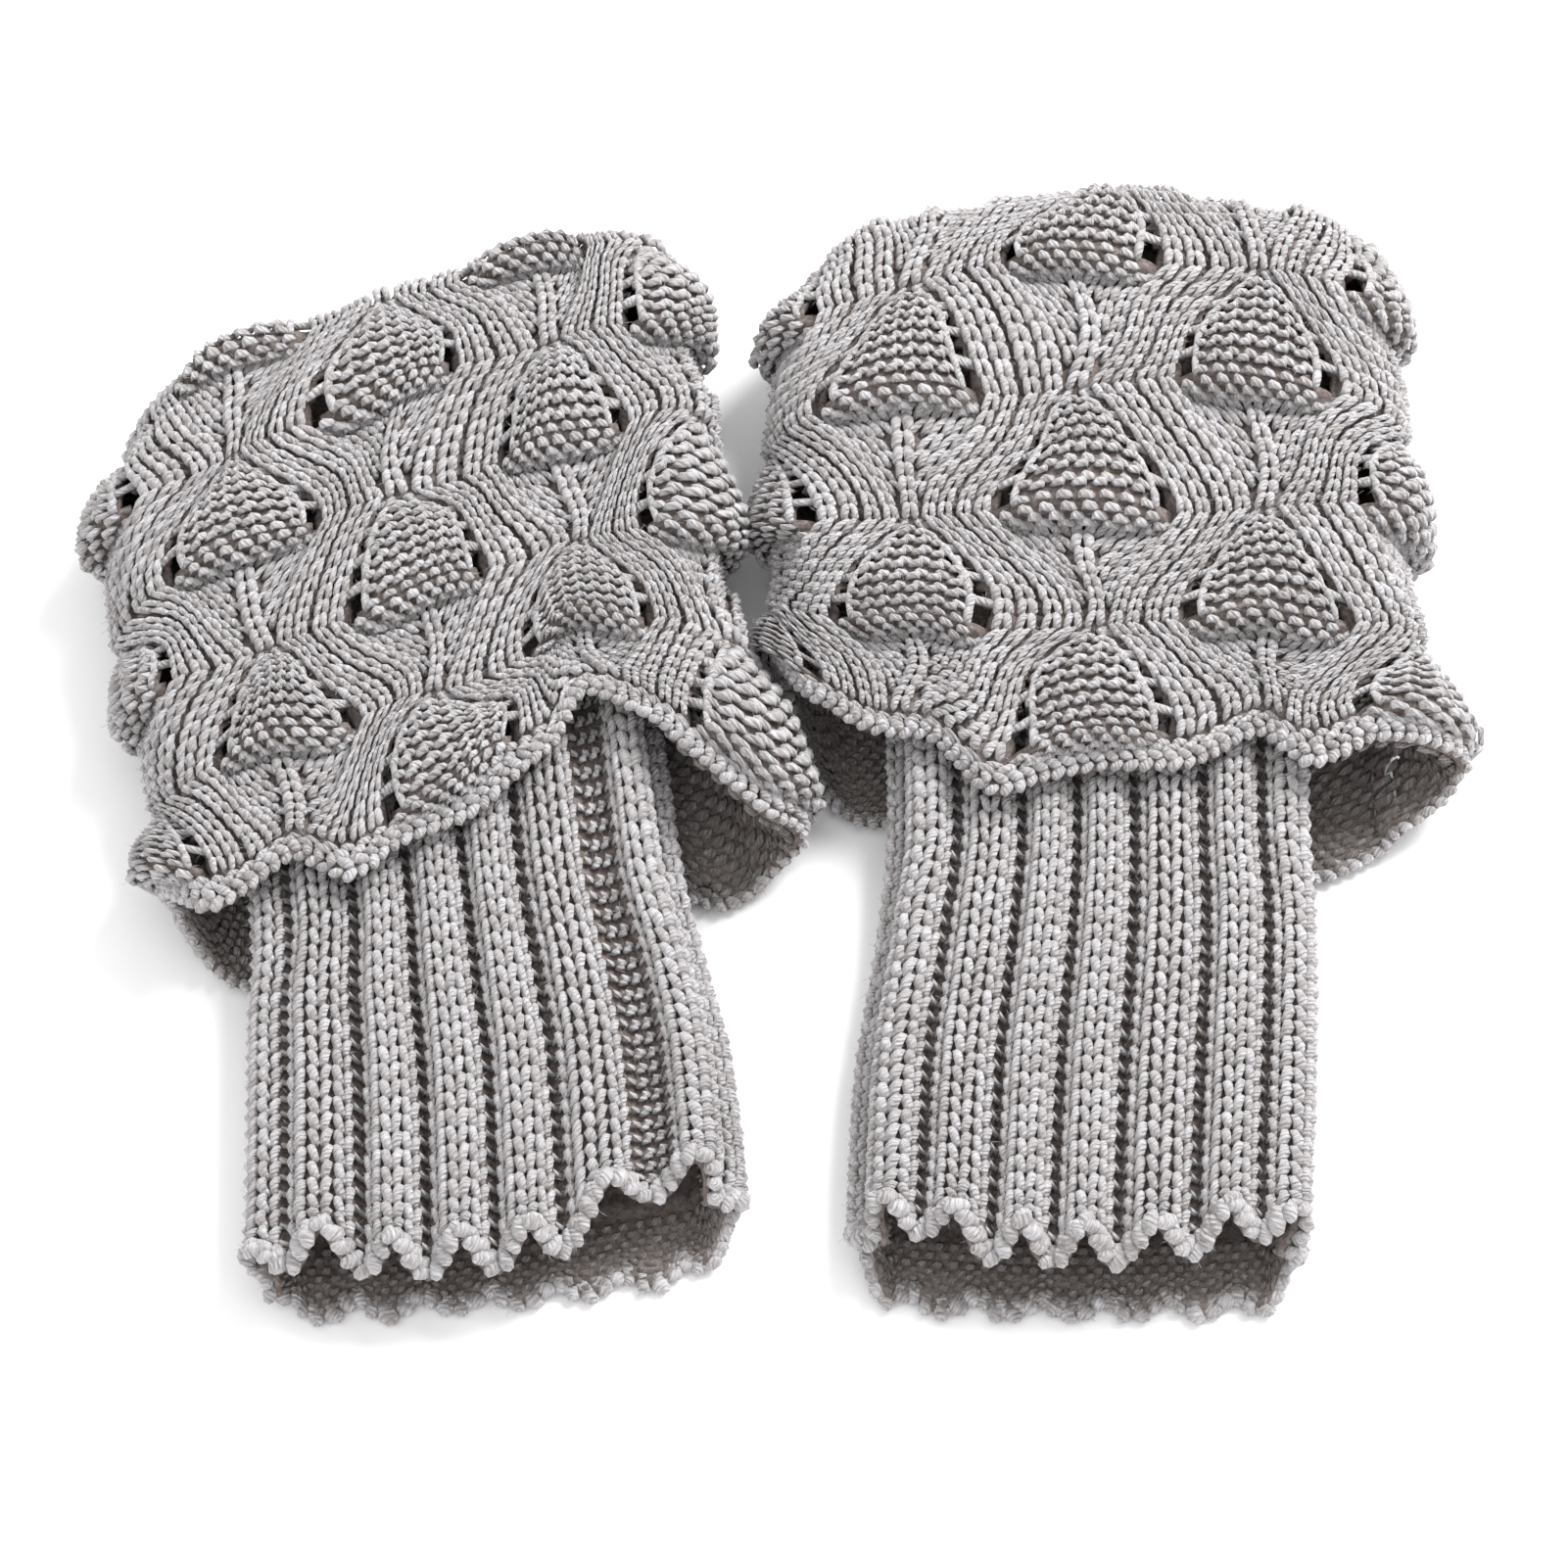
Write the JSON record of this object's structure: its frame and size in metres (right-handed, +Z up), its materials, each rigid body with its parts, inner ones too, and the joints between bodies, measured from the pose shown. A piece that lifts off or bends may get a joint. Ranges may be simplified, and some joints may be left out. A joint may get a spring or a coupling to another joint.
{
  "type": "pair of knitted leg warmers",
  "caption": "Pair of knitted leg warmers lying flat: ribbed tube legs with a wide openwork lace cuff turned down over the top, wavy hem and scalloped mouths.",
  "frame": {"origin": "middle of the pair's box, on the surface that the pair lies on", "axes": "+Z up, +X to the right across both warmers, +Y from the leg mouths to the turned folds of the cuffs"},
  "size_m": [0.2463, 0.2346, 0.0331],
  "materials": {
    "yarn": "matt heathered light grey plied yarn, knitted"
  },
  "bodies": {
    "root": {"ribbed_leg_left": "yarn", "lace_cuff_left": "yarn", "ribbed_leg_right": "yarn", "lace_cuff_right": "yarn"}
  },
  "joints": []
}
